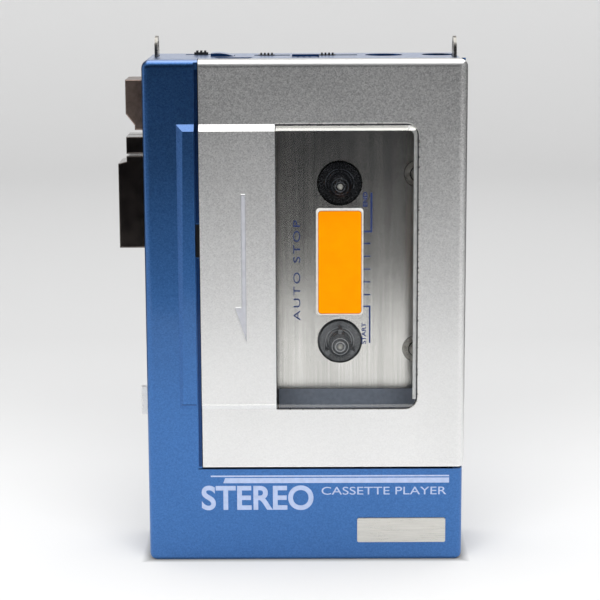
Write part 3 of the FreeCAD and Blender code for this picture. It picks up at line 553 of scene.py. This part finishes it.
def spindle_tips():
    """A polished dome in the mouth of each spindle, with raised rings on its nose, waist, foot and skirt
    painted paler as a painted highlight.
    """
    # painted highlight: each spindle's rings take a paler tone than the spindle, so that they stand out
    for body, rib_highlight_tone in (("supply", colour(46, 48, 52)), ("take_up", colour(124, 126, 128))):
        rib = moulded(f"{body}_rib", rib_highlight_tone, 0.25, 0.4, 0.01, 0.3)
        low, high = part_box(f"{body}_spindle")
        x, z = (low.x + high.x) / 2, (low.z + high.z) / 2
        dome = arc_profile(0.0, 0.8 * MM, 0.45 * MM, low.y + 0.1 * MM, 90, 10)
        turned(f"{body}_dome", dome, x, z, body, pale_tip())
        skirt_y = DECK_Y - 0.6 * MM
        for label, radius, bulge, y in (("nose", 1.25, 0.16, low.y), ("waist", 2.15, 0.12, low.y + 0.5 * MM),
                                        ("foot", 3.1, 0.10, skirt_y), ("skirt", 3.75, 0.12, skirt_y)):
            raised_ring(f"{body}_{label}_ring", radius, bulge, x, y, z, body, rib)


def pale_tip():
    return two_tone("pale_tip", (1500, 3, 0.5), (colour(150, 150, 146), colour(186, 186, 180)),
                    (0.3, 0.42), metallic=0.6, dents=(0.01, 0.3))


def bead(name, points, radius, body, material):
    """A thin round bead laid along (x, y, z) points in metres."""
    curve = bpy.data.curves.new(name, "CURVE")
    curve.dimensions = "3D"
    curve.bevel_depth = radius
    curve.bevel_resolution = 2
    line = curve.splines.new("POLY")
    line.points.add(len(points) - 1)
    for point, place in zip(line.points, points):
        point.co = (*place, 1.0)
    curve.materials.append(material)
    piece = placed(name, curve)
    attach(piece, body)


def round_corner(x, z, reach, start, sweep):
    """Nine (x, z) points clockwise round part of a corner, from start through sweep degrees."""
    angles = [math.radians(start - sweep * step / 8) for step in range(9)]
    return [(x + reach * math.cos(a), z + reach * math.sin(a)) for a in angles]


def window_beads():
    """The dark joint between the window and the door, and the bright pressed edge outside it."""
    low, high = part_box("door_window")
    corner_x = high.x - WINDOW_CORNER
    for name, grow, radius, material in (("window_joint", -0.13 * MM, 0.13 * MM, dark_joint()),
                                         ("window_edge", 0.14 * MM, 0.15 * MM, bright_edge())):
        reach = WINDOW_CORNER + grow
        outline = [(low.x, high.z + grow)]
        outline += round_corner(corner_x, high.z - WINDOW_CORNER, reach, 90, 90)
        outline += round_corner(corner_x, low.z + WINDOW_CORNER, reach, 0, 90)
        outline.append((low.x, low.z - grow))
        bead(name, [(x, FRONT_Y, z) for x, z in outline], radius, "door", material)
    upright = [(low.x, FRONT_Y, high.z), (low.x, FRONT_Y - 1.5 * MM, high.z - 1.7 * MM),
               (low.x, FRONT_Y - 0.8 * MM, low.z + 1.4 * MM), (low.x, FRONT_Y, low.z)]
    bead("window_upright_joint", upright, 0.10 * MM, "door", dark_joint())


def window_side_band():
    """The steep right-hand side of the window: a pale sheet that stands for the silver wall of the opening
    behind it, a painted reflection.
    """
    low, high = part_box("door_window")
    corner_x = high.x - WINDOW_CORNER
    points = []
    for inset, at_foot, at_head in ((0.35, 0.15, 0.15), (1.3, 0.75, 1.35)):
        reach = WINDOW_CORNER - inset * MM
        rail = round_corner(corner_x, high.z - WINDOW_CORNER, reach, 80, 75)
        rail += round_corner(corner_x, low.z + WINDOW_CORNER, reach, 0, 12)
        for x, z in rail:
            share = (z - low.z) / (high.z - low.z)
            rise = (at_foot + (at_head - at_foot) * share) * MM
            points.append((x, FRONT_Y - rise, z))
    count = len(points) // 2
    mesh = bpy.data.meshes.new("window_side_band")
    mesh.from_pydata(points, [], [(i, i + 1, count + i + 1, count + i) for i in range(count - 1)])
    # painted reflection: the band carries the pale tone of the opening wall that the bevel shows
    mesh.materials.append(painted_wall_reflection())
    piece = placed("window_side_band", mesh)
    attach(piece, "door")


def painted_wall_reflection():
    return two_tone("painted_wall_reflection", (700, 3, 0.5), (colour(206, 207, 206), colour(232, 233, 232)),
                    (0.4, 0.5), metallic=0.85)


def dark_joint():
    return two_tone("dark_joint", (900, 2, 0.5), (colour(38, 38, 42), colour(58, 58, 62)), (0.45, 0.55))


def bright_edge():
    return two_tone("bright_edge", (900, 2, 0.5), (colour(228, 228, 224), colour(246, 246, 242)),
                    (0.25, 0.35), metallic=1.0)


def arrow_fill():
    """Pale enamel in the bottom of the engraved arrow, and the bright upper edges of the engraving."""
    left, right, wing, tip = -16.35, -15.15, -18.1, 58.4
    head, barb = 97.1, 67.5
    enamel = satin_print("arrow_enamel", colour(160, 161, 167), 0.35)
    outline = [(left, head), (left, barb), (wing, barb), (right, tip), (right, head)]
    flat_piece("arrow_enamel", outline, FRONT_Y - 0.7 * MM, "door", enamel, 0.05 * MM)
    glint = satin_print("arrow_glint", colour(236, 236, 236), 0.3)
    bar("arrow_head_glint", left, right, head, head + 0.22, FRONT_Y - 1.34 * MM, "door", glint)
    bar("arrow_wing_glint", wing + 0.1, left - 0.15, barb, barb + 0.2, FRONT_Y - 1.06 * MM, "door", glint)


def rounded_loop(low, high, inset, radius, y):
    """A rounded rectangle inside a box, shrunk by inset (left, right, bottom, top), as (x, y, z) points."""
    left, right, bottom, top = inset
    x0, x1, z0, z1 = low.x + left, high.x - right, low.z + bottom, high.z - top
    centres = [(x1 - radius, z1 - radius, 0), (x0 + radius, z1 - radius, 90),
               (x0 + radius, z0 + radius, 180), (x1 - radius, z0 + radius, 270)]
    return [(x + radius * math.cos(math.radians(start + 15 * step)), y,
             z + radius * math.sin(math.radians(start + 15 * step)))
            for x, z, start in centres for step in range(7)]


def ringed(name, loops, body, material):
    """A closed band of faces between rounded loops."""
    mesh = bpy.data.meshes.new(name)
    points = [point for loop in loops for point in loop]
    mesh.from_pydata(points, [], faces_between(len(loops), len(loops[0])))
    mesh.materials.append(material)
    piece = placed(name, mesh)
    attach(piece, body)


def door_ledge():
    """The ledge left of the door, painted darker as painted shade, and a black sheet in its thumb notch as
    painted shadow.
    """
    door_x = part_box("cassette_door")[0].x / MM
    blues = (colour(40, 72, 124), colour(22, 44, 84), colour(60, 90, 150))
    # painted shade: the ledge is covered with a darker copy of the blue paint
    shade = flake_paint("ledge_shade_paint", blues, 0.34, 0.30, flake_shade_by_height=(0.5, 0.6), coat=0.2, shine=0.0)
    y = FRONT_Y + 0.5 * MM
    bar("ledge_shade_low", door_x - 1.05, door_x - 0.2, 24.5, 80.3, y, "case", shade)
    bar("ledge_shade_high", door_x - 1.05, door_x - 0.2, 89.5, 129.0, y, "case", shade)
    # painted shadow: a black sheet fills the mouth of the thumb notch
    black = moulded("notch_shadow_black", colour(8, 8, 10), 0.6)
    bar("thumb_notch_shadow", door_x - 1.15, door_x - 0.1, 80.6, 89.15, FRONT_Y + 0.9 * MM, "case", black)


def edge_lines():
    """Fine lines along the lower edges of the raised panel and the door: a dark one on the blue as painted
    shade, pale ones on the silver as painted highlights.
    """
    low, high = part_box("cassette_door")
    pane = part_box("door_window")[0]
    crease_y, crease_z = FRONT_Y - 0.8 * MM, pane.z + 1.4 * MM
    crease = [(low.x - 5.2 * MM, crease_y + 0.05 * MM, crease_z), (low.x - 1.5 * MM, crease_y, crease_z)]
    # painted shade: a dark navy line along the lower edge of the raised blue panel
    bead("raised_panel_shade_line", crease, 0.10 * MM, "case", satin_print("panel_shade_navy", colour(24, 44, 84), 0.5))
    glint_z = crease_z - 0.05 * MM
    glint = [(low.x + 0.2 * MM, crease_y, glint_z), (pane.x - 0.2 * MM, crease_y, glint_z)]
    # painted highlights: pale lines along the lower edge of the silver panel and the foot of the door
    pale = satin_print("edge_highlight_white", colour(226, 226, 224), 0.3)
    bead("door_panel_highlight_line", glint, 0.12 * MM, "door", pale)
    lip_y, lip_z = FRONT_Y + 0.1 * MM, low.z + 0.1 * MM
    lip = [(low.x + 0.4 * MM, lip_y, lip_z), (high.x - 1.2 * MM, lip_y, lip_z)]
    bead("door_foot_highlight", lip, 0.13 * MM, "door", pale)


def panel_rim():
    """The pressed frame around the coloured panel, painted near white as a painted highlight, with a dark
    line inside it as painted shade in the crease.
    """
    low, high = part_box("deck_panel")
    seat = low.y - 0.02 * MM
    overlap = [-0.06 * MM] * 4
    wide = [value * MM for value in (0.46, 0.40, 0.30, 0.62)]
    outer = rounded_loop(low, high, overlap, 1.0 * MM, seat)
    skirt = rounded_loop(low, high, overlap, 1.0 * MM, DECK_Y)
    crest = rounded_loop(low, high, [value * 0.4 for value in wide], 1.0 * MM, low.y - 0.25 * MM)
    inner = rounded_loop(low, high, wide, 0.9 * MM, seat)
    # painted highlight: the rim is painted near white so that it reads bright
    enamel = satin_print("rim_highlight_white", colour(244, 242, 238), 0.3)
    ringed("panel_rim", [skirt, outer, crest, inner], "case", enamel)
    # painted shade: a dark brown line in the crease between the rim and the enamel
    crease = rounded_loop(low, high, [value + 0.14 * MM for value in wide], 0.8 * MM, seat)
    ringed("panel_rim_shade_line", [inner, crease], "case", satin_print("rim_shade_brown", colour(120, 84, 40), 0.6))


def screw_details():
    """The rolled edge of each deck screw's washer, and dark rings round the washer and the head as painted
    shadow.
    """
    dark = satin_print("screw_shadow_black", colour(16, 16, 18), 0.5)
    bright = bright_edge()
    # painted shadow: the dark rings round the washer and round the head's foot
    rings = (("washer", 3.5, 0.13, 0.0, dark), ("washer_lip", 3.22, 0.12, 0.1, bright),
             ("head_foot_shadow", 1.95, 0.14, 0.4, dark))
    for label, x, z in (("upper", 29.9 * MM, 101.6 * MM), ("lower", 29.7 * MM, 54.5 * MM)):
        for name, radius, bulge, rise, material in rings:
            raised_ring(f"{label}_{name}", radius, bulge, x, DECK_Y - rise * MM, z, "case", material)


def key_springs(finishes):
    """Wound wire in place of each plain sleeve."""
    wire, turns, steps = 0.2 * MM, 6, 12
    inset = wire + 0.05 * MM
    for key in ("stop", "rewind", "fast_forward", "play"):
        low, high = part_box(f"{key}_spring")
        radius = (high.z - low.z) / 2 - inset
        middle = (low + high) / 2
        curve = bpy.data.curves.new(f"{key}_coil", "CURVE")
        curve.dimensions = "3D"
        curve.bevel_depth = wire
        curve.bevel_resolution = 2
        line = curve.splines.new("NURBS")
        line.points.add(turns * steps)
        length = high.x - low.x - 2 * inset
        for i, point in enumerate(line.points):
            angle = 2 * math.pi * i / steps
            share = i / (turns * steps)
            point.co = (low.x + inset + length * share, middle.y + radius * math.cos(angle),
                        middle.z + radius * math.sin(angle), 1.0)
        line.order_u = 3
        line.use_endpoint_u = True
        curve.materials.append(finishes["steel"])
        wound = placed(f"{key}_coil", curve)
        coil = placed(f"{key}_coil_wire", bpy.data.meshes.new_from_object(wound))
        bpy.data.objects.remove(wound)
        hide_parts(f"{key}_spring")
        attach(coil, "case")
        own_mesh(coil)


# ---------------------------------------------------------------- studio

def matt(name, tone):
    s = Shader(name)
    s.set(Base_Color=tone, Roughness=0.9)
    s.surface.inputs["Specular IOR Level"].default_value = 0.0
    return s.material


def studio_paper():
    """Pale matt paper, painted a little greyer halfway back as painted shade, and darker in the gap under
    the foot of the case as a painted contact shadow.
    """
    s = Shader("studio_paper")
    across = s.math("SUBTRACT", s.math("ABSOLUTE", s.axis("X")), HALF_WIDTH)
    along = s.math("SUBTRACT", s.math("ABSOLUTE", s.axis("Y")), BACK_Y)
    # painted contact shadow: the paper darkens within a few mm of the case's footprint
    foot = s.ramp(s.math("MAXIMUM", across, along), 0.0, 2.2 * MM, 0.55, 0.0)
    # painted shade: the paper turns greyer halfway back, near the floor
    back = s.math("MULTIPLY", s.math("SUBTRACT", s.axis("Y"), 0.08), 5.0, clamp=True)
    low = s.math("SUBTRACT", 1.0, s.math("MULTIPLY", s.axis("Z"), 6.0, clamp=True))
    paper = s.blend(s.math("MULTIPLY", back, low), grey(0.79), grey(0.69))
    s.set(Base_Color=s.blend(foot, paper, grey(0.05)), Roughness=0.9)
    s.surface.inputs["Specular IOR Level"].default_value = 0.0
    return s.material


def card(name, size_x, size_z, centre, turn, material, lit=True):
    """An upright card turned about +Z by so many degrees, not seen by the camera.

    One that isn't lit is seen by reflections only.
    """
    mesh = bpy.data.meshes.new(name)
    x, z = size_x / 2, size_z / 2
    mesh.from_pydata([(-x, 0, -z), (x, 0, -z), (x, 0, z), (-x, 0, z)], [], [(0, 1, 2, 3)])
    mesh.materials.append(material)
    plane = placed(name, mesh)
    plane.matrix_world = Matrix.Translation(centre) @ Matrix.Rotation(math.radians(turn), 4, "Z")
    plane.visible_camera = False
    plane.visible_diffuse = lit
    plane.visible_shadow = False


def paper_bowl(material):
    """Pale paper: flat round the object and curving up all round it.

    The part in front of PAPER_FRONT is only for the eye, so that the front of the case mirrors a dark
    room there.
    """
    flat, bend, top = 0.85, 0.45, 0.75
    bend_steps, turns = 16, 96
    profile = [(0.0, 0.0), (0.2, 0.0), (0.5, 0.0), (flat, 0.0)]
    for step in range(1, bend_steps + 1):
        angle = math.radians(90 * step / bend_steps)
        profile.append((flat + bend * math.sin(angle), bend * (1 - math.cos(angle))))
    profile.append((flat + bend, top))
    points = [(radius * math.sin(2 * math.pi * i / turns), radius * math.cos(2 * math.pi * i / turns), z)
              for radius, z in profile for i in range(turns)]
    faces = faces_between(len(profile), turns)
    for name, behind in (("paper_back", True), ("paper_front", False)):
        mesh = bpy.data.meshes.new(name)
        mesh.from_pydata(points, [], faces)
        shape = bmesh.new()
        shape.from_mesh(mesh)
        bmesh.ops.remove_doubles(shape, verts=shape.verts, dist=1e-6)
        bmesh.ops.bisect_plane(shape, geom=shape.verts[:] + shape.edges[:] + shape.faces[:],
                               plane_co=(0, PAPER_FRONT, 0), plane_no=(0, 1, 0),
                               clear_inner=behind, clear_outer=not behind)
        shape.to_mesh(mesh)
        shape.free()
        mesh.shade_smooth()
        mesh.materials.append(material)
        paper = placed(name, mesh)
        paper.visible_diffuse = behind
        paper.visible_glossy = behind
        paper.visible_transmission = behind
        paper.visible_shadow = behind


def area_light(name, place, target, size_x, size_y, power, mirrored=True):
    data = bpy.data.lights.new(name, "AREA")
    data.shape = "RECTANGLE"
    data.size = size_x
    data.size_y = size_y
    data.energy = power
    light = placed(name, data)
    light.location = place
    light.rotation_euler = (Vector(target) - Vector(place)).to_track_quat("-Z", "Y").to_euler()
    light.visible_glossy = mirrored
    light.visible_camera = False


def studio():
    """Paper all round, dark cards for the paint and the window to mirror, and three soft lights."""
    paper_bowl(studio_paper())
    dark = matt("dark_room", (0.06, 0.06, 0.064, 1.0))
    card("room_front", 3.2, 1.0, (0, -0.75, 0.42), 0, dark)
    card("room_back_left", 0.50, 0.40, (-0.17, 0.30, 0.15), 90, dark, lit=False)
    card("room_back_right", 0.50, 0.40, (0.17, 0.30, 0.15), 90, dark, lit=False)
    card("room_left", 0.5, 0.5, (-0.62, -0.35, 0.22), 90, dark)
    card("room_right", 0.9, 0.5, (0.50, -0.2, 0.22), 90, matt("grey_room", grey(0.2)))
    world = bpy.data.worlds.new("studio")
    world.use_nodes = True
    background = world.node_tree.nodes["Background"]
    background.inputs["Color"].default_value = grey(0.815)
    background.inputs["Strength"].default_value = 0.6
    scene.world = world
    area_light("overhead", (0, 0, 0.9), (0, 0, 0), 1.1, 0.9, 4.35)
    area_light("front_fill", (0, -0.72, 0.42), (0, 0, 0.05), 1.2, 0.5, 10.3, mirrored=False)
    area_light("backdrop_wash", (0, 0.5, 0.75), (0, 1.3, 0.1), 1.2, 0.3, 1.35, mirrored=False)
    scene.view_settings.view_transform = "Standard"


def camera():
    """The camera stands half a metre in front of the case and looks slightly down."""
    looks_down, looks_left, leans = 10.62, 0.2, -0.24
    across, away, height = 0.55 * MM, 504.56 * MM, 164.94 * MM
    data = bpy.data.cameras.new("view")
    data.sensor_width = 36
    data.lens = 118.527
    data.clip_start = 0.01
    data.clip_end = 50
    eye = placed("view", data)
    tilt = Matrix.Rotation(math.radians(90 - looks_down), 4, "X")
    heading = Matrix.Rotation(math.radians(looks_left), 4, "Z")
    roll = Matrix.Rotation(math.radians(leans), 4, "Z")
    place = Matrix.Translation((across, FRONT_Y - away, height))
    eye.matrix_world = place @ heading @ tilt @ roll
    scene.camera = eye


finishes = make_finishes()
dress_nodes(finishes)
front_print()
deck_foot_shade()
deck_print()
panel_rim()
screw_details()
door_ledge()
edge_lines()
spindle_tips()
window_beads()
window_side_band()
arrow_fill()
key_springs(finishes)
studio()
camera()
